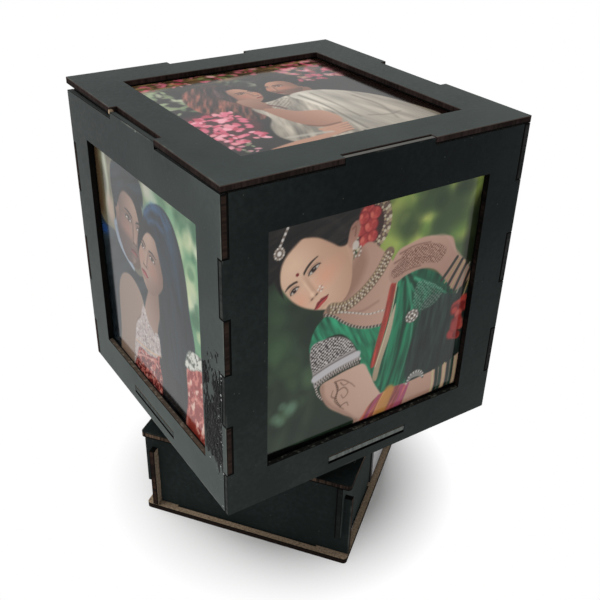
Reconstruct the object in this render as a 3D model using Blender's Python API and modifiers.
"""Rotating photo lamp: a finger-jointed cube with a photo in each side and in its lid, turned by a
geared motor in a square base. Metres, +Z up, origin at the centre of the base's underside."""
import math

import bmesh
import bpy
from mathutils import Vector

# Sheet stock and fits
PLY = 0.003             # MDF sheet
FIT = 0.0003            # gap between pieces that touch
RUNNING_FIT = 0.0001    # radial clearance of the shaft in its bush

# Cube
CUBE_WIDTH = 0.1524
SIDE_HEIGHT = 0.1518
FINGER_PITCH = 0.0258
FINGER_ROWS = 6
CENTRE_TAB = 0.0447     # width of the tabs that hold the lid and the floor
WINDOW_WIDTH = 0.1124
WINDOW_HEIGHT = 0.1134
WINDOW_LOW = 0.0192     # window's lower edge above the panel's lower edge
FLOOR_HEIGHT = 0.0063   # floor's underside above the panels' lower edge
FLOOR_SLOT_PLAY = 0.0013
LID_WINDOW = 0.1112
LID_LIFT = 0.003        # the lid's back edge stands this much above its front edge
NOTCH_PLAY = 0.0006

# Photo prints and the diffusers that back them
FILM = 0.0003
DIFFUSER = 0.002
SHEET_OVERLAP = 0.005   # how far a sheet reaches past its window

# Base
PLATE_WIDTH = 0.1143
PLATE_CORNER = 0.002
WALL_INSET = 0.004      # walls' outer faces inside the plates' edges
BASE_HEIGHT = 0.0528
WALL_TAB = 0.0792
WALL_SLOT_PLAY = 0.0009
CORNER_TAB_TOP = 0.0405
PRONG_LOW = 0.0165
BASE_YAW = math.radians(-52.74)
CUBE_GAP = 0.0119       # base's top to the side panels' lower edge

# Mains inlet, which stands on the bottom plate in a notch of the base's right wall
NOTCH_START = 0.0024    # notch's near edge from the wall's middle
NOTCH_WIDTH = 0.034
NOTCH_TOP = 0.0325
INLET_PLAY = 0.0005
INLET_PROUD = 0.0008    # inlet's face in front of the wall
INLET_DEPTH = 0.021
INLET_FRAME = 0.0035    # black rim beside and above the white face
INLET_SILL = 0.0012     # black rim under it
FACE_THICK = 0.002
SOCKET_RADIUS = 0.0041
SOCKET_PITCH = 0.0086
SOCKET_DEPTH = 0.012
SOCKET_HEIGHT = 0.0215  # socket's middle above the lamp's underside
PIN_RADIUS = 0.0012
PIN_RECESS = 0.0045     # pins' tips behind the inlet's face
PIN_TAIL = 0.003        # pins behind the inlet's rear

# Motor
MOTOR_RADIUS = 0.02475
MOTOR_DEPTH = 0.0175
MOTOR_WALL = 0.0008
MOTOR_PLATE = 0.001
EAR_PITCH = 0.060
EAR_RADIUS = 0.005
MOTOR_SCREW = 0.0016
BUSH_RADIUS = 0.005
BUSH_FLANGE = 0.001
BUSH_FLANGE_LIP = 0.0015
BUSH_BELOW = 0.004      # bush below the motor plate
BUSH_ABOVE = 0.0015     # bush above the motor plate
SHAFT_RADIUS = 0.0035
SHAFT_FLAT = 0.0005     # depth of the flat under the grub screw
COLLAR_RADIUS = 0.0052
COLLAR_THICK = 0.001
SHAFT_HOLE = 0.008

# Hub and the slip rings under the cube's floor
HUB_RADIUS = 0.008
HUB_CLEAR = 0.0017      # hub's lower end above the base
FLANGE_RADIUS = 0.017
FLANGE_THICK = 0.0027
HUB_SCREW_PITCH = 0.025
HUB_SCREW = 0.002
GRUB_RADIUS = 0.0015
GRUB_HEIGHT = 0.005     # grub screw above the hub's lower end
DISC_RADIUS = 0.032
DISC_THICK = 0.0016
RING_THICK = 0.0005
RING_WIDTH = 0.004
RING_INNER = 0.0205     # mean radius of each ring
RING_OUTER = 0.027

# Brushes on the base
BRUSH_RUN = 0.016       # from the block to the contact point
BLOCK_LENGTH = 0.008
BLOCK_WIDTH = 0.016
BLOCK_HEIGHT = 0.006
LEAF_WIDTH = 0.003
LEAF_THICK = 0.0004

# Lamp holder
HOLDER_RADIUS = 0.031
HOLDER_RIM = 0.010      # height of the holder's foot
HOLDER_WALL = 0.0025
NECK_RADIUS = 0.0195
HOLDER_HEIGHT = 0.036
BORE_RADIUS = 0.0142
BORE_FLOOR = 0.002
SHELL_WALL = 0.0005
CONTACT_RADIUS = 0.004
CONTACT_THICK = 0.001
HOLDER_SCREW = 0.0016
LEAD_RADIUS = 0.0009
LEAD_RUN = 0.0055       # height of the leads' level run above the floor

# Bulb
CAP_RADIUS = 0.0130
CAP_WALL = 0.0006
CAP_LENGTH = 0.0225
THREAD_PITCH = 0.0036
THREAD_DEPTH = 0.0009
THREAD_TURNS = 4
TIP_RADIUS = 0.0035
TIP_THICK = 0.001
BODY_LENGTH = 0.016
BODY_WALL = 0.0015
GLOBE_RADIUS = 0.0225
GLOBE_WALL = 0.0012
BOARD_THICK = 0.0012
CHIP = 0.003
CHIP_THICK = 0.0008
CHIP_COUNT = 6

# Leads inside the base
CABLE_RADIUS = 0.0015
CABLE_HOLE = 0.0022

# Fasteners
NUT_THICK = 0.003
SEGMENTS = 40
SMALL_SEGMENTS = 20

# Levels, from the floor that the lamp stands on
PLATE_UNDER = BASE_HEIGHT - PLY
CUBE_BOTTOM = BASE_HEIGHT + CUBE_GAP
SIDE_TOP = CUBE_BOTTOM + SIDE_HEIGHT
FLOOR_UNDER = CUBE_BOTTOM + FLOOR_HEIGHT
FLOOR_TOP = FLOOR_UNDER + PLY
DISC_LOW = FLOOR_UNDER - FIT - DISC_THICK
RING_LOW = DISC_LOW - FIT - RING_THICK
FLANGE_LOW = DISC_LOW - FIT - FLANGE_THICK
HUB_LOW = BASE_HEIGHT + HUB_CLEAR
MOTOR_TOP = PLATE_UNDER - FIT
CAN_TOP = MOTOR_TOP - MOTOR_PLATE - FIT
CAN_LOW = CAN_TOP - MOTOR_DEPTH
HOLDER_LOW = FLOOR_TOP + FIT
HOLDER_TOP = HOLDER_LOW + HOLDER_HEIGHT
HOLDER_SCREW_PITCH = NECK_RADIUS + HOLDER_RADIUS
BORE_LOW = HOLDER_LOW + HOLDER_RIM
SHELL_OUTER = BORE_RADIUS - FIT
CONTACT_LOW = BORE_LOW + FIT
TIP_LOW = CONTACT_LOW + CONTACT_THICK + FIT
CAP_LOW = TIP_LOW + TIP_THICK + FIT
CAP_TOP = CAP_LOW + CAP_LENGTH
BODY_TOP = CAP_TOP + FIT + BODY_LENGTH
WALL_FACE = PLATE_WIDTH / 2 - WALL_INSET
HALF = CUBE_WIDTH / 2

# Colour, roughness and metallic value of each finish
FINISHES = {
    "laminate": ((0.030, 0.034, 0.034), 0.45, 0.0),
    "print": ((0.35, 0.30, 0.26), 0.18, 0.0),
    "opal": ((0.80, 0.80, 0.78), 0.35, 0.0),
    "steel": ((0.55, 0.55, 0.56), 0.35, 1.0),
    "brass": ((0.78, 0.60, 0.30), 0.30, 1.0),
    "copper": ((0.80, 0.42, 0.28), 0.30, 1.0),
    "white_plastic": ((0.82, 0.82, 0.80), 0.40, 0.0),
    "black_plastic": ((0.02, 0.02, 0.02), 0.45, 0.0),
    "board": ((0.30, 0.20, 0.09), 0.55, 0.0),
    "rubber": ((0.05, 0.05, 0.05), 0.60, 0.0),
}


def clear_scene():
    """Remove whatever the open file holds."""
    for old in list(bpy.data.objects):
        bpy.data.objects.remove(old, do_unlink=True)


def collection(name):
    """A new collection linked to the scene."""
    made = bpy.data.collections.new(name)
    bpy.context.scene.collection.children.link(made)
    return made


clear_scene()
PARTS = collection("rotating_photo_lamp")
CUTTERS = collection("cutters")


def empty(name, parent=None, location=(0, 0, 0), rotation=(0, 0, 0)):
    """A frame that pieces are placed in."""
    frame = bpy.data.objects.new(name, None)
    PARTS.objects.link(frame)
    frame.parent = parent
    frame.location = location
    frame.rotation_euler = rotation
    return frame


def finish(obj, kind):
    """Give a piece its own material."""
    colour, roughness, metallic = FINISHES[kind]
    material = bpy.data.materials.new(obj.name)
    material.use_nodes = True
    shader = material.node_tree.nodes["Principled BSDF"]
    shader.inputs["Base Color"].default_value = (*colour, 1)
    shader.inputs["Roughness"].default_value = roughness
    shader.inputs["Metallic"].default_value = metallic
    obj.data.materials.append(material)


def add_piece(name, mesh, kind, parent, location=(0, 0, 0), rotation=(0, 0, 0)):
    """Link a mesh as one named piece of the lamp."""
    obj = bpy.data.objects.new(name, mesh)
    PARTS.objects.link(obj)
    obj.parent = parent
    obj.location = location
    obj.rotation_euler = rotation
    finish(obj, kind)
    return obj


def evaluated_mesh(obj):
    """The object's mesh with its modifiers or curve settings applied, its seams welded."""
    bpy.context.view_layer.update()
    graph = bpy.context.evaluated_depsgraph_get()
    mesh = bpy.data.meshes.new_from_object(obj.evaluated_get(graph))
    shape = bmesh.new()
    shape.from_mesh(mesh)
    bmesh.ops.remove_doubles(shape, verts=shape.verts, dist=1e-6)
    shape.to_mesh(mesh)
    shape.free()
    return mesh


def curve_mesh(curve):
    """Turn curve data into a welded mesh."""
    guide = bpy.data.objects.new("guide", curve)
    CUTTERS.objects.link(guide)
    mesh = evaluated_mesh(guide)
    bpy.data.objects.remove(guide, do_unlink=True)
    return mesh


def flat_mesh(outlines, thickness):
    """A flat plate in XY, centred on Z, from closed outlines; inner ones are holes."""
    curve = bpy.data.curves.new("outline", "CURVE")
    curve.dimensions = "2D"
    curve.fill_mode = "BOTH"
    curve.extrude = thickness / 2
    for outline in outlines:
        spline = curve.splines.new("POLY")
        spline.points.add(len(outline) - 1)
        for point, (x, y) in zip(spline.points, outline):
            point.co = (x, y, 0, 1)
        spline.use_cyclic_u = True
    return curve_mesh(curve)


def rectangle(width, height, x=0.0, y=0.0):
    """Corners of a rectangle about (x, y)."""
    return [(x + sx * width / 2, y + sy * height / 2) for sx, sy in ((-1, -1), (1, -1), (1, 1), (-1, 1))]


def circle(radius, x=0.0, y=0.0, count=SMALL_SEGMENTS):
    """Points round a circle."""
    turns = [2 * math.pi * k / count for k in range(count)]
    return [(x + radius * math.cos(a), y + radius * math.sin(a)) for a in turns]


def rounded_square(width, corner, steps=4):
    """Outline of a square with rounded corners."""
    points = []
    for quarter in range(4):
        middle = math.pi / 4 + quarter * math.pi / 2
        centre = Vector((math.cos(middle), math.sin(middle))) * math.sqrt(2) * (width / 2 - corner)
        for k in range(steps + 1):
            a = middle - math.pi / 4 + k * math.pi / 2 / steps
            points.append((centre.x + corner * math.cos(a), centre.y + corner * math.sin(a)))
    return points


def block_mesh(size, centre=(0, 0, 0)):
    """A box from the cube primitive."""
    shape = bmesh.new()
    bmesh.ops.create_cube(shape, size=1)
    bmesh.ops.scale(shape, vec=size, verts=shape.verts)
    bmesh.ops.translate(shape, vec=centre, verts=shape.verts)
    mesh = bpy.data.meshes.new("block")
    shape.to_mesh(mesh)
    shape.free()
    return mesh


def rod_mesh(radius, low, high, count=SMALL_SEGMENTS):
    """An upright cylinder between two heights."""
    shape = bmesh.new()
    bmesh.ops.create_cone(shape, cap_ends=True, segments=count, radius1=radius, radius2=radius, depth=high - low)
    bmesh.ops.translate(shape, vec=(0, 0, (low + high) / 2), verts=shape.verts)
    mesh = bpy.data.meshes.new("rod")
    shape.to_mesh(mesh)
    shape.free()
    return mesh


def turned_mesh(profile, count=SEGMENTS, closed=False):
    """A turned shape. The profile runs from top to bottom down its outer side."""
    mesh = bpy.data.meshes.new("profile")
    edges = [(k, k + 1) for k in range(len(profile) - 1)]
    if closed:
        edges.append((len(profile) - 1, 0))
    mesh.from_pydata([(radius, 0, height) for radius, height in profile], edges, [])
    lathe = bpy.data.objects.new("lathe", mesh)
    CUTTERS.objects.link(lathe)
    screw = lathe.modifiers.new("turn", "SCREW")
    screw.steps = count
    screw.render_steps = count
    screw.use_merge_vertices = True
    screw.merge_threshold = 1e-6
    turned = evaluated_mesh(lathe)
    bpy.data.objects.remove(lathe, do_unlink=True)
    return turned


def smooth(obj, degrees=35):
    """Shade round faces smooth and keep real edges sharp."""
    obj.data.shade_smooth()
    obj.data.set_sharp_from_angle(angle=math.radians(degrees))


def add_cutter(mesh, parent, location=(0, 0, 0), rotation=(0, 0, 0)):
    """A guide solid that only cuts."""
    tool = bpy.data.objects.new("cutter", mesh)
    CUTTERS.objects.link(tool)
    tool.parent = parent
    tool.location = location
    tool.rotation_euler = rotation
    tool.hide_render = True
    tool.display_type = "WIRE"
    return tool


def boolean(obj, tool, operation="DIFFERENCE"):
    """Cut a piece with a tool, or join the tool to it."""
    step = obj.modifiers.new("boolean", "BOOLEAN")
    step.operation = operation
    step.solver = "EXACT"
    step.object = tool


def spaced(count, pitch):
    """Places along a line, centred on zero."""
    return [(k - (count - 1) / 2) * pitch for k in range(count)]


# Frames
BASE_AXIS = empty("base_axis", rotation=(0, 0, BASE_YAW))
SPIN_AXIS = empty("spin_axis")
LID_TILT = math.asin(LID_LIFT / CUBE_WIDTH)
LID_SEAT = empty("lid_seat", SPIN_AXIS, (0, -HALF, SIDE_TOP + FIT), (LID_TILT, 0, 0))

SIDES = {"front": 0.0, "right": math.pi / 2, "back": math.pi, "left": -math.pi / 2}


def outward(yaw, distance, height=0.0):
    """A point at a distance from the axis, square to the side at this yaw."""
    return (distance * math.sin(yaw), -distance * math.cos(yaw), height)


def side_edge(tab_rows):
    """Right edge of a side panel from bottom to top, full width only in the tab rows."""
    tip = HALF
    notch = HALF - PLY - FIT
    rows = [(max(0.0, SIDE_HEIGHT - (k + 1) * FINGER_PITCH), SIDE_HEIGHT - k * FINGER_PITCH)
            for k in range(FINGER_ROWS)]
    rows[-1] = (0.0, rows[-1][1])
    points = []
    for k in reversed(range(FINGER_ROWS)):
        low, high = rows[k]
        if k in tab_rows:
            low += FIT / 2 if low > 0 else 0.0
            high -= FIT / 2 if high < SIDE_HEIGHT else 0.0
            points += [(tip, low), (tip, high)]
        else:
            low -= FIT / 2 if low > 0 else 0.0
            high += FIT / 2 if high < SIDE_HEIGHT else 0.0
            points += [(notch, low), (notch, high)]
    return points


def side_panel(side):
    """Panel with a window, fingers, a tab for the lid and a slot for the floor."""
    tab_rows = (1, 3, 5) if side in ("front", "back") else (0, 2, 4)
    right = side_edge(tab_rows)
    top = [(CENTRE_TAB / 2, SIDE_HEIGHT), (CENTRE_TAB / 2, SIDE_HEIGHT + PLY)]
    half = right + top
    outline = half + [(-x, y) for x, y in reversed(half)]
    window = rectangle(WINDOW_WIDTH, WINDOW_HEIGHT, y=WINDOW_LOW + WINDOW_HEIGHT / 2)
    slot_low = FLOOR_HEIGHT - FLOOR_SLOT_PLAY
    slot_high = FLOOR_HEIGHT + PLY + FIT
    slot = rectangle(CENTRE_TAB + 2 * FIT, slot_high - slot_low, y=(slot_low + slot_high) / 2)
    yaw = SIDES[side]
    add_piece(side + "_panel", flat_mesh([outline, window, slot], PLY), "laminate", SPIN_AXIS,
              outward(yaw, HALF - PLY / 2, CUBE_BOTTOM), (math.pi / 2, 0, yaw))


def side_sheets(side):
    """Photo print and the diffuser behind it. The back diffuser reaches up to the lid and props it."""
    yaw = SIDES[side]
    width = WINDOW_WIDTH + 2 * SHEET_OVERLAP
    height = WINDOW_HEIGHT + 2 * SHEET_OVERLAP
    middle = CUBE_BOTTOM + WINDOW_LOW + WINDOW_HEIGHT / 2
    film_out = HALF - PLY - FIT
    opal_out = film_out - FILM - FIT
    add_piece(side + "_print", block_mesh((width, FILM, height)), "print", SPIN_AXIS,
              outward(yaw, film_out - FILM / 2, middle), (0, 0, yaw))
    low = middle - height / 2
    high = middle + height / 2
    if side == "back":
        reach = HALF + opal_out - DIFFUSER
        high = SIDE_TOP + FIT + reach * math.tan(LID_TILT) - FIT
    add_piece(side + "_diffuser", block_mesh((width, DIFFUSER, high - low)), "opal", SPIN_AXIS,
              outward(yaw, opal_out - DIFFUSER / 2, (low + high) / 2), (0, 0, yaw))


def lid():
    """Loose lid with its window, edge notches, print and diffuser, tilted as it lies."""
    depth = PLY + NOTCH_PLAY
    notch = CENTRE_TAB / 2 + FIT
    quarter = [(HALF, -HALF), (HALF, -notch), (HALF - depth, -notch), (HALF - depth, notch), (HALF, notch)]
    outline = []
    for turn in range(4):
        cos, sin = ((1, 0), (0, 1), (-1, 0), (0, -1))[turn]
        outline += [(x * cos - y * sin, x * sin + y * cos) for x, y in quarter]
    window = rectangle(LID_WINDOW, LID_WINDOW)
    add_piece("lid", flat_mesh([outline, window], PLY), "laminate", LID_SEAT, (0, HALF, PLY / 2))
    sheet = LID_WINDOW + 2 * SHEET_OVERLAP
    film_high = -FIT
    opal_high = film_high - FILM - FIT
    add_piece("lid_print", block_mesh((sheet, sheet, FILM)), "print", LID_SEAT, (0, HALF, film_high - FILM / 2))
    add_piece("lid_diffuser", block_mesh((sheet, sheet, DIFFUSER)), "opal", LID_SEAT,
              (0, HALF, opal_high - DIFFUSER / 2))


def cube_floor():
    """Floor panel whose tabs stand in the side panels' slots."""
    inner = HALF - PLY - FIT
    tab = CENTRE_TAB / 2
    quarter = [(inner, -inner), (inner, -tab), (HALF, -tab), (HALF, tab), (inner, tab)]
    outline = []
    for turn in range(4):
        cos, sin = ((1, 0), (0, 1), (-1, 0), (0, -1))[turn]
        outline += [(x * cos - y * sin, x * sin + y * cos) for x, y in quarter]
    holes = [circle(HUB_SCREW + FIT, x=x) for x in spaced(2, HUB_SCREW_PITCH)]
    holes += [circle(LEAD_RADIUS + FIT, x=x) for x in (RING_INNER, -RING_OUTER)]
    holes += [circle(HOLDER_SCREW + FIT, y=y) for y in spaced(2, HOLDER_SCREW_PITCH)]
    add_piece("cube_floor", flat_mesh([outline] + holes, PLY), "laminate", SPIN_AXIS, (0, 0, FLOOR_UNDER + PLY / 2))


def right_tab_end():
    """Where the right wall's lower tab stops, short of the inlet's notch."""
    return NOTCH_START - PLY


def base_plate(name, low, holes, notched):
    """Square plate with slots for the four walls' tabs."""
    slot_in = WALL_FACE - PLY - FIT
    slot_out = WALL_FACE + WALL_SLOT_PLAY
    middle = (slot_in + slot_out) / 2
    depth = slot_out - slot_in
    slots = [rectangle(WALL_TAB + 2 * FIT, depth, y=sign * middle) for sign in (-1, 1)]
    slots.append(rectangle(depth, WALL_TAB + 2 * FIT, x=-middle))
    start = -WALL_TAB / 2 - FIT
    end = (right_tab_end() if notched else WALL_TAB / 2) + FIT
    slots.append(rectangle(depth, end - start, middle, (start + end) / 2))
    outlines = [rounded_square(PLATE_WIDTH, PLATE_CORNER)] + slots + holes
    add_piece(name, flat_mesh(outlines, PLY), "laminate", BASE_AXIS, (0, 0, low + PLY / 2))


def base_wall(side):
    """Wall that laps its neighbours: a prong and an open slot at one end, a tab at the other."""
    end = PLATE_WIDTH / 2
    inner = WALL_FACE - PLY - FIT
    outer = WALL_FACE + FIT
    low = PLY + FIT
    high = BASE_HEIGHT - PLY - FIT
    tab = WALL_TAB / 2
    slot_top = CORNER_TAB_TOP + FIT
    foot = [(-tab, low), (-tab, low - PLY), (tab, low - PLY), (tab, low)]
    if side == "right":
        foot[2:] = [(right_tab_end(), low - PLY), (right_tab_end(), low), (NOTCH_START, low),
                    (NOTCH_START, NOTCH_TOP), (NOTCH_START + NOTCH_WIDTH, NOTCH_TOP),
                    (NOTCH_START + NOTCH_WIDTH, low)]
    outline = [(-inner, low)] + foot + [
        (end, low), (end, CORNER_TAB_TOP), (inner, CORNER_TAB_TOP), (inner, high), (tab, high), (tab, high + PLY),
        (-tab, high + PLY), (-tab, high), (-end, high), (-end, PRONG_LOW), (-outer, PRONG_LOW),
        (-outer, slot_top), (-inner, slot_top)]
    yaw = SIDES[side]
    add_piece("base_" + side + "_wall", flat_mesh([outline], PLY), "laminate", BASE_AXIS,
              outward(yaw, WALL_FACE - PLY / 2), (math.pi / 2, 0, yaw))


def brush_block_place():
    """Centre of the brush block's foot in the base's frame."""
    return (-BRUSH_RUN, -(RING_INNER + RING_OUTER) / 2)


def cable_hole_place():
    """Where the brush cable comes up through the base's top plate."""
    x, y = brush_block_place()
    return (x - BLOCK_LENGTH / 2 - 5 * CABLE_RADIUS, y)


def base():
    """Plates and walls."""
    motor_holes = [circle(MOTOR_SCREW + FIT, x=x) for x in spaced(2, EAR_PITCH)]
    cable = circle(CABLE_HOLE, *cable_hole_place())
    base_plate("base_bottom_plate", 0.0, [], True)
    base_plate("base_top_plate", PLATE_UNDER, [circle(SHAFT_HOLE, count=SEGMENTS), cable] + motor_holes, False)
    for side in SIDES:
        base_wall(side)


def motor():
    """Geared motor under the base's top plate."""
    wall = MOTOR_RADIUS - MOTOR_WALL
    can = [(wall, CAN_TOP), (MOTOR_RADIUS, CAN_TOP), (MOTOR_RADIUS, CAN_LOW), (0, CAN_LOW),
           (0, CAN_LOW + MOTOR_WALL), (wall, CAN_LOW + MOTOR_WALL)]
    smooth(add_piece("motor_can", turned_mesh(can, closed=True), "steel", BASE_AXIS))

    plate_low = MOTOR_TOP - MOTOR_PLATE
    ears = []
    for sign in (1, -1):
        arc = [math.radians(-90 + 15 * k) for k in range(13)]
        ears += [(sign * (EAR_PITCH / 2 + EAR_RADIUS * math.cos(a)), sign * EAR_RADIUS * math.sin(a)) for a in arc]
        shoulder = math.asin(EAR_RADIUS / MOTOR_RADIUS)
        steps = 16
        span = math.pi - 2 * shoulder
        turns = [shoulder + span * k / steps for k in range(steps + 1)]
        ears += [(sign * MOTOR_RADIUS * math.cos(a), sign * MOTOR_RADIUS * math.sin(a)) for a in turns]
    holes = [circle(MOTOR_SCREW + FIT, x=x) for x in spaced(2, EAR_PITCH)]
    bush_hole = circle(BUSH_RADIUS + FIT)
    add_piece("motor_plate", flat_mesh([ears, bush_hole] + holes, MOTOR_PLATE), "steel", BASE_AXIS,
              (0, 0, plate_low + MOTOR_PLATE / 2))

    bore = SHAFT_RADIUS + RUNNING_FIT
    lip = BUSH_RADIUS + BUSH_FLANGE_LIP
    flange_high = plate_low - FIT
    bush = [(bore, MOTOR_TOP + BUSH_ABOVE), (BUSH_RADIUS, MOTOR_TOP + BUSH_ABOVE), (BUSH_RADIUS, flange_high),
            (lip, flange_high), (lip, flange_high - BUSH_FLANGE), (BUSH_RADIUS, flange_high - BUSH_FLANGE),
            (BUSH_RADIUS, plate_low - BUSH_BELOW), (bore, plate_low - BUSH_BELOW)]
    smooth(add_piece("motor_bush", turned_mesh(bush, closed=True), "brass", BASE_AXIS))

    collar_low = MOTOR_TOP + BUSH_ABOVE + FIT
    tip = SHAFT_RADIUS
    shaft_top = FLANGE_LOW + FLANGE_THICK
    shaft = [(0, shaft_top), (tip, shaft_top), (tip, collar_low + COLLAR_THICK),
             (COLLAR_RADIUS, collar_low + COLLAR_THICK), (COLLAR_RADIUS, collar_low), (tip, collar_low),
             (tip, CAN_LOW + MOTOR_WALL + FIT), (0, CAN_LOW + MOTOR_WALL + FIT)]
    spindle = add_piece("motor_shaft", turned_mesh(shaft), "steel", SPIN_AXIS)
    flat_size = (tip, 2 * tip, shaft_top - HUB_LOW + FIT)
    flat_centre = (1.5 * tip - SHAFT_FLAT, 0, HUB_LOW + flat_size[2] / 2)
    boolean(spindle, add_cutter(block_mesh(flat_size, flat_centre), SPIN_AXIS))

    for k, x in enumerate(spaced(2, EAR_PITCH), 1):
        head_low = BASE_HEIGHT + FIT
        screw(f"motor_screw_{k}", BASE_AXIS, (x, 0), MOTOR_SCREW, plate_low - HUB_SCREW, head_low, 1)


def screw(name, parent, place, radius, tip, seat, facing, kind="steel"):
    """Pan-head screw. Its head sits on the seat height and faces up (1) or down (-1)."""
    head_radius = 1.9 * radius
    head = 1.3 * radius
    profile = [(0, seat + facing * head), (0.6 * head_radius, seat + facing * head),
               (head_radius, seat + facing * 0.4 * head), (head_radius, seat), (radius, seat), (radius, tip), (0, tip)]
    if facing < 0:
        profile.reverse()
    made = add_piece(name, turned_mesh(profile, SMALL_SEGMENTS), kind, parent, (*place, 0))
    smooth(made)


def nut(name, parent, place, radius, low):
    """Hexagon nut."""
    mesh = flat_mesh([circle(1.9 * radius, count=6), circle(radius + FIT, count=SMALL_SEGMENTS)], NUT_THICK)
    add_piece(name, mesh, "steel", parent, (*place, low + NUT_THICK / 2))


def hub():
    """Flanged hub that joins the cube's floor to the shaft."""
    bore = SHAFT_RADIUS + FIT
    flange_high = FLANGE_LOW + FLANGE_THICK
    profile = [(bore, flange_high), (FLANGE_RADIUS, flange_high), (FLANGE_RADIUS, FLANGE_LOW),
               (HUB_RADIUS, FLANGE_LOW), (HUB_RADIUS, HUB_LOW), (bore, HUB_LOW)]
    piece = add_piece("hub", turned_mesh(profile, closed=True), "brass", SPIN_AXIS)
    for x in spaced(2, HUB_SCREW_PITCH):
        drill = rod_mesh(HUB_SCREW + FIT, FLANGE_LOW - PLY, flange_high + PLY)
        boolean(piece, add_cutter(drill, SPIN_AXIS, (x, 0, 0)))
    drill = rod_mesh(GRUB_RADIUS + FIT, 0, 2 * HUB_RADIUS)
    grub_z = HUB_LOW + GRUB_HEIGHT
    boolean(piece, add_cutter(drill, SPIN_AXIS, (0, 0, grub_z), (0, math.pi / 2, 0)))
    smooth(piece)
    grub = rod_mesh(GRUB_RADIUS, SHAFT_RADIUS - SHAFT_FLAT + FIT, HUB_RADIUS)
    add_piece("hub_grub_screw", grub, "steel", SPIN_AXIS, (0, 0, grub_z), (0, math.pi / 2, 0))
    for k, x in enumerate(spaced(2, HUB_SCREW_PITCH), 1):
        nut_low = FLOOR_TOP + FIT
        screw(f"hub_screw_{k}", SPIN_AXIS, (x, 0), HUB_SCREW, nut_low + NUT_THICK + FIT, FLANGE_LOW - FIT, -1)
        nut(f"hub_nut_{k}", SPIN_AXIS, (x, 0), HUB_SCREW, nut_low)


def slip_rings():
    """Insulating disc with two contact rings under it."""
    outline = circle(DISC_RADIUS, count=SEGMENTS)
    holes = [circle(HUB_SCREW + FIT, x=x) for x in spaced(2, HUB_SCREW_PITCH)]
    holes += [circle(LEAD_RADIUS + FIT, x=x) for x in (RING_INNER, -RING_OUTER)]
    add_piece("slip_disc", flat_mesh([outline] + holes, DISC_THICK), "board", SPIN_AXIS,
              (0, 0, DISC_LOW + DISC_THICK / 2))
    for name, middle in (("slip_ring_inner", RING_INNER), ("slip_ring_outer", RING_OUTER)):
        rims = [circle(middle + RING_WIDTH / 2, count=SEGMENTS), circle(middle - RING_WIDTH / 2, count=SEGMENTS)]
        add_piece(name, flat_mesh(rims, RING_THICK), "copper", SPIN_AXIS, (0, 0, RING_LOW + RING_THICK / 2))


def brushes():
    """Block on the base with a leaf brush for each ring."""
    x, y = brush_block_place()
    foot = BASE_HEIGHT + FIT
    block = block_mesh((BLOCK_LENGTH, BLOCK_WIDTH, BLOCK_HEIGHT), (x, y, foot + BLOCK_HEIGHT / 2))
    add_piece("brush_block", block, "black_plastic", BASE_AXIS)
    seat = foot + BLOCK_HEIGHT + FIT + LEAF_THICK / 2
    contact = RING_LOW - FIT - LEAF_THICK / 2
    run = BRUSH_RUN - BLOCK_LENGTH / 2
    rise = contact - seat
    path = [(x - 0.3 * BLOCK_LENGTH, seat), (x + BLOCK_LENGTH / 2, seat)]
    for k in range(1, 9):
        s = k / 8
        path.append((x + BLOCK_LENGTH / 2 + s * run, seat + rise * math.sin(s * math.pi / 2) ** 1.3))
    path += [(0.08 * run, contact), (0.2 * run, contact - 0.05 * rise), (0.3 * run, contact - 0.14 * rise)]
    for name, radius in (("brush_inner", RING_INNER), ("brush_outer", RING_OUTER)):
        ribbon = bmesh.new()
        rows = [[ribbon.verts.new((px, -radius + sign * LEAF_WIDTH / 2, pz)) for sign in (-1, 1)] for px, pz in path]
        for low, high in zip(rows, rows[1:]):
            ribbon.faces.new((low[0], high[0], high[1], low[1]))
        mesh = bpy.data.meshes.new(name)
        ribbon.to_mesh(mesh)
        ribbon.free()
        leaf = add_piece(name, mesh, "copper", BASE_AXIS)
        shell = leaf.modifiers.new("thickness", "SOLIDIFY")
        shell.thickness = LEAF_THICK
        shell.offset = 0


def inlet_places():
    """Front face, rear face and the socket's middle across the wall."""
    front = WALL_FACE + INLET_PROUD
    return front, front - INLET_DEPTH, NOTCH_START + NOTCH_WIDTH / 2


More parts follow.
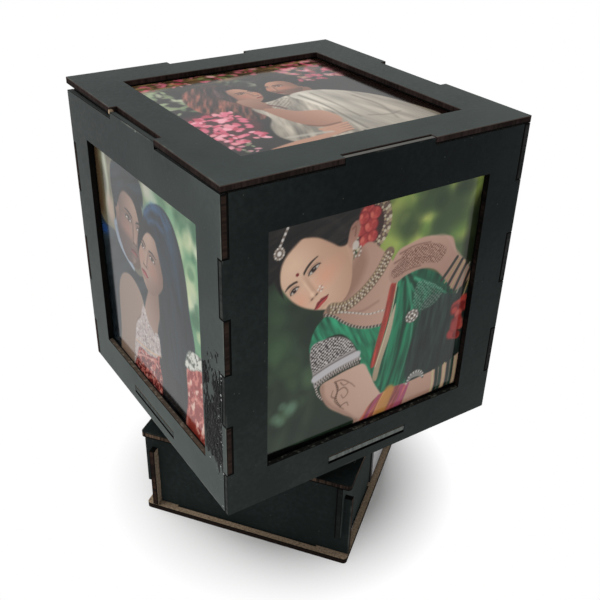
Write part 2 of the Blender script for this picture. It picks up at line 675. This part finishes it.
def inlet():
    """Black inlet with a white face, a two-lobed socket and two contact pins."""
    front, rear, middle_y = inlet_places()
    width = NOTCH_WIDTH - 2 * INLET_PLAY
    low = PLY + FIT
    high = NOTCH_TOP - INLET_PLAY
    housing = block_mesh((INLET_DEPTH, width, high - low), ((front + rear) / 2, middle_y, (low + high) / 2))
    body = add_piece("inlet_body", housing, "black_plastic", BASE_AXIS)
    pocket_low = low + INLET_SILL
    pocket_high = high - INLET_FRAME
    pocket_width = width - 2 * INLET_FRAME
    pocket_z = (pocket_low + pocket_high) / 2
    depth = FACE_THICK + FIT
    pocket = block_mesh((2 * depth, pocket_width, pocket_high - pocket_low), (front, middle_y, pocket_z))
    boolean(body, add_cutter(pocket, BASE_AXIS))
    face = block_mesh((FACE_THICK, pocket_width - 2 * FIT, pocket_high - pocket_low - 2 * FIT),
                      (front - FACE_THICK / 2, middle_y, pocket_z))
    plate = add_piece("inlet_face", face, "white_plastic", BASE_AXIS)

    lobes = []
    for sign in (1, -1):
        for k in range(17):
            a = -math.pi / 2 + k * math.pi / 16
            lobes.append((sign * (SOCKET_PITCH / 2 + SOCKET_RADIUS * math.cos(a)), sign * SOCKET_RADIUS * math.sin(a)))
    socket = flat_mesh([lobes], 2 * SOCKET_DEPTH)
    for piece in (body, plate):
        cut = add_cutter(socket, BASE_AXIS, (front, middle_y, SOCKET_HEIGHT), (math.pi / 2, 0, math.pi / 2))
        boolean(piece, cut)
    for k, offset in enumerate(spaced(2, SOCKET_PITCH), 1):
        place = (front, middle_y + offset, SOCKET_HEIGHT)
        lay = (0, -math.pi / 2, 0)
        drill = rod_mesh(PIN_RADIUS + FIT, 0, INLET_DEPTH + PIN_TAIL)
        boolean(body, add_cutter(drill, BASE_AXIS, place, lay))
        pin = rod_mesh(PIN_RADIUS, PIN_RECESS, INLET_DEPTH + PIN_TAIL)
        add_piece(f"inlet_pin_{k}", pin, "brass", BASE_AXIS, place, lay)


def lead_ends():
    """Where the leads come up inside the holder: under the contact, and under the shell's edge."""
    return (CONTACT_RADIUS / 2, -(SHELL_OUTER - LEAD_RADIUS - FIT / 3))


def lamp_holder():
    """Batten lamp holder on the cube's floor: hollow foot, neck, threaded shell and contact."""
    foot_in = HOLDER_RADIUS - HOLDER_WALL
    ceiling = BORE_LOW - BORE_FLOOR
    shoulder = HOLDER_LOW + HOLDER_RIM
    profile = [(BORE_RADIUS, HOLDER_TOP), (NECK_RADIUS - HOLDER_WALL / 2, HOLDER_TOP),
               (NECK_RADIUS, HOLDER_TOP - HOLDER_WALL / 2), (NECK_RADIUS, shoulder + HOLDER_WALL),
               (NECK_RADIUS + HOLDER_WALL, shoulder), (HOLDER_RADIUS - HOLDER_WALL, shoulder),
               (HOLDER_RADIUS, shoulder - HOLDER_WALL), (HOLDER_RADIUS, HOLDER_LOW), (foot_in, HOLDER_LOW),
               (foot_in, ceiling), (0, ceiling), (0, BORE_LOW), (BORE_RADIUS, BORE_LOW)]
    piece = add_piece("lamp_holder", turned_mesh(profile, closed=True), "black_plastic", SPIN_AXIS)
    for x in lead_ends():
        drill = rod_mesh(LEAD_RADIUS + FIT, ceiling - PLY, BORE_LOW + PLY)
        boolean(piece, add_cutter(drill, SPIN_AXIS, (x, 0, 0)))
    for y in spaced(2, HOLDER_SCREW_PITCH):
        boss = rod_mesh(2.2 * HOLDER_SCREW, HOLDER_LOW, ceiling + BORE_FLOOR / 2)
        boolean(piece, add_cutter(boss, SPIN_AXIS, (0, y, 0)), "UNION")
    for y in spaced(2, HOLDER_SCREW_PITCH):
        drill = rod_mesh(HOLDER_SCREW + FIT, HOLDER_LOW - PLY, shoulder + PLY)
        boolean(piece, add_cutter(drill, SPIN_AXIS, (0, y, 0)))
    smooth(piece)

    shell_in = SHELL_OUTER - SHELL_WALL
    shell_low = TIP_LOW
    shell_top = HOLDER_TOP - 2 * FIT
    sleeve = [(shell_in, shell_top), (SHELL_OUTER, shell_top), (SHELL_OUTER, shell_low), (shell_in, shell_low)]
    smooth(add_piece("holder_shell", turned_mesh(sleeve, closed=True), "brass", SPIN_AXIS))
    contact = rod_mesh(CONTACT_RADIUS, CONTACT_LOW, CONTACT_LOW + CONTACT_THICK)
    add_piece("holder_contact", contact, "brass", SPIN_AXIS)

    for k, y in enumerate(spaced(2, HOLDER_SCREW_PITCH), 1):
        screw(f"holder_screw_{k}", SPIN_AXIS, (0, y), HOLDER_SCREW, FLOOR_UNDER, shoulder + FIT, 1)


def bulb():
    """Small LED bulb: threaded cap, tip contact, body, board and globe."""
    add_piece("bulb_tip", rod_mesh(TIP_RADIUS, TIP_LOW, TIP_LOW + TIP_THICK), "brass", SPIN_AXIS)

    root = CAP_RADIUS - THREAD_DEPTH
    outer = [(CAP_RADIUS - FIT, CAP_TOP), (CAP_RADIUS - FIT, CAP_TOP - THREAD_PITCH / 2)]
    for k in range(THREAD_TURNS):
        start = CAP_TOP - THREAD_PITCH / 2 - k * THREAD_PITCH
        outer += [(root, start - 0.25 * THREAD_PITCH), (root, start - 0.4 * THREAD_PITCH),
                  (CAP_RADIUS - FIT, start - 0.7 * THREAD_PITCH), (CAP_RADIUS - FIT, start - THREAD_PITCH)]
    neck = 0.5 * CAP_RADIUS
    bore = root - CAP_WALL
    cap = outer + [(root, CAP_LOW + 0.5 * THREAD_PITCH), (neck, CAP_LOW), (0, CAP_LOW), (0, CAP_LOW + CAP_WALL),
                   (neck - CAP_WALL, CAP_LOW + CAP_WALL), (bore, CAP_LOW + 0.5 * THREAD_PITCH + CAP_WALL),
                   (bore, CAP_TOP)]
    smooth(add_piece("bulb_cap", turned_mesh(cap, closed=True), "steel", SPIN_AXIS))

    rim = GLOBE_RADIUS - BODY_WALL
    low = CAP_TOP + FIT
    spigot = bore - FIT
    ledge = BODY_TOP - GLOBE_WALL - BOARD_THICK
    body = [(rim - BODY_WALL, BODY_TOP), (rim, BODY_TOP), (0.5 * (rim + CAP_RADIUS) + BODY_WALL, low + 0.45 * BODY_LENGTH),
            (CAP_RADIUS, low), (spigot, low), (spigot, CAP_TOP - 0.4 * CAP_LENGTH),
            (spigot - BODY_WALL, CAP_TOP - 0.4 * CAP_LENGTH), (spigot - BODY_WALL, low + BODY_WALL),
            (rim - 2.4 * BODY_WALL, ledge), (rim - BODY_WALL, ledge)]
    smooth(add_piece("bulb_body", turned_mesh(body, closed=True), "white_plastic", SPIN_AXIS))

    board_radius = rim - BODY_WALL - FIT
    board_low = ledge + FIT
    board = add_piece("led_board", rod_mesh(board_radius, board_low, board_low + BOARD_THICK, SEGMENTS), "opal", SPIN_AXIS)
    for k in range(CHIP_COUNT):
        a = 2 * math.pi * k / CHIP_COUNT
        chip = block_mesh((CHIP, CHIP, 2 * CHIP_THICK), (0.6 * board_radius, 0, board_low + BOARD_THICK))
        boolean(board, add_cutter(chip, SPIN_AXIS, rotation=(0, 0, a)), "UNION")

    mouth = math.asin(rim / GLOBE_RADIUS)
    centre = BODY_TOP + FIT + GLOBE_RADIUS * math.cos(mouth)
    steps = 12
    arc = [k * (math.pi - mouth) / steps for k in range(steps + 1)]
    outer = [(GLOBE_RADIUS * math.sin(a), centre + GLOBE_RADIUS * math.cos(a)) for a in arc]
    inside = GLOBE_RADIUS - GLOBE_WALL
    inner = [(inside * math.sin(a), centre + inside * math.cos(a)) for a in reversed(arc)]
    inner[0] = (inner[0][0], BODY_TOP + FIT)
    smooth(add_piece("bulb_globe", turned_mesh(outer + inner, closed=True), "opal", SPIN_AXIS))


def cable(name, places, radius=CABLE_RADIUS, parent=None):
    """Round cable along a smooth curve through its places."""
    points = [Vector(p) for p in places]
    ends = [2 * points[0] - points[1]] + points + [2 * points[-1] - points[-2]]
    path = []
    for a, b, c, d in zip(ends, ends[1:], ends[2:], ends[3:]):
        for k in range(4):
            s = k / 4
            path.append(0.5 * (2 * b + (c - a) * s + (2 * a - 5 * b + 4 * c - d) * s * s
                               + (3 * b - a - 3 * c + d) * s ** 3))
    path.append(points[-1])
    curve = bpy.data.curves.new(name, "CURVE")
    curve.dimensions = "3D"
    curve.bevel_depth = radius
    curve.bevel_resolution = 2
    curve.use_fill_caps = True
    spline = curve.splines.new("POLY")
    spline.points.add(len(path) - 1)
    for point, place in zip(spline.points, path):
        point.co = (*place, 1)
    made = add_piece(name, curve_mesh(curve), "rubber", parent or BASE_AXIS)
    smooth(made, 60)


def cables():
    """Two-core cables from the inlet to the motor, and up through the top plate to the brushes."""
    rear = inlet_places()[1] - FIT
    middle_y = inlet_places()[2]
    step = CABLE_RADIUS + FIT
    bend = 4 * CABLE_RADIUS
    ring = MOTOR_RADIUS + bend
    hole_x, hole_y = cable_hole_place()
    block_x = brush_block_place()[0] - BLOCK_LENGTH / 2
    entry = CAN_LOW + MOTOR_DEPTH / 2
    cable("motor_cable", [(rear, middle_y, SOCKET_HEIGHT + step),
                          (rear - bend / 3, middle_y, SOCKET_HEIGHT + step),
                          (rear - 2 * bend / 3, middle_y, SOCKET_HEIGHT + step),
                          (0.6 * ring, 0.9 * ring, CAN_LOW - bend / 2),
                          (0.3 * ring, ring, entry - bend / 2),
                          (0.1 * ring, ring, entry),
                          (0, ring - bend / 3, entry),
                          (0, ring - 2 * bend / 3, entry),
                          (0, MOTOR_RADIUS + FIT, entry)])
    cable("brush_cable", [(rear, middle_y, SOCKET_HEIGHT - step),
                          (rear - bend / 3, middle_y, SOCKET_HEIGHT - step),
                          (rear - 2 * bend / 3, middle_y, SOCKET_HEIGHT - step),
                          (0.3 * ring, 0.1 * ring, PLY + bend),
                          (-0.2 * ring, -0.5 * ring, PLY + bend / 2),
                          (hole_x, hole_y - bend, PLY + bend),
                          (hole_x - bend, hole_y - bend, 0.5 * PLATE_UNDER),
                          (hole_x, hole_y, PLATE_UNDER - bend),
                          (hole_x, hole_y, BASE_HEIGHT),
                          (hole_x + 2 * CABLE_RADIUS, hole_y, BASE_HEIGHT + BLOCK_HEIGHT / 2),
                          (block_x - FIT, hole_y, BASE_HEIGHT + BLOCK_HEIGHT / 2)])


def lamp_leads():
    """From each slip ring up through the floor, and level inside the holder's foot to its contacts."""
    run = FLOOR_TOP + LEAD_RUN
    low = RING_LOW + RING_THICK + FIT
    for k, (start, end, top) in enumerate(zip((RING_INNER, -RING_OUTER), lead_ends(),
                                              (CONTACT_LOW - FIT, TIP_LOW - FIT)), 1):
        turn = math.copysign(3 * LEAD_RADIUS, start - end)
        cable(f"lamp_lead_{k}", [(start, 0, low), (start, 0, FLOOR_TOP), (start, 0, run - 2 * LEAD_RADIUS),
                                 (start - turn / 2, 0, run), (end + turn, 0, run), (end, 0, run + 2 * LEAD_RADIUS),
                                 (end, 0, BORE_LOW - BORE_FLOOR / 2), (end, 0, top)], LEAD_RADIUS, SPIN_AXIS)


for side_name in SIDES:
    side_panel(side_name)
    side_sheets(side_name)
cube_floor()
lid()
base()
motor()
hub()
slip_rings()
brushes()
inlet()
lamp_holder()
bulb()
cables()
lamp_leads()
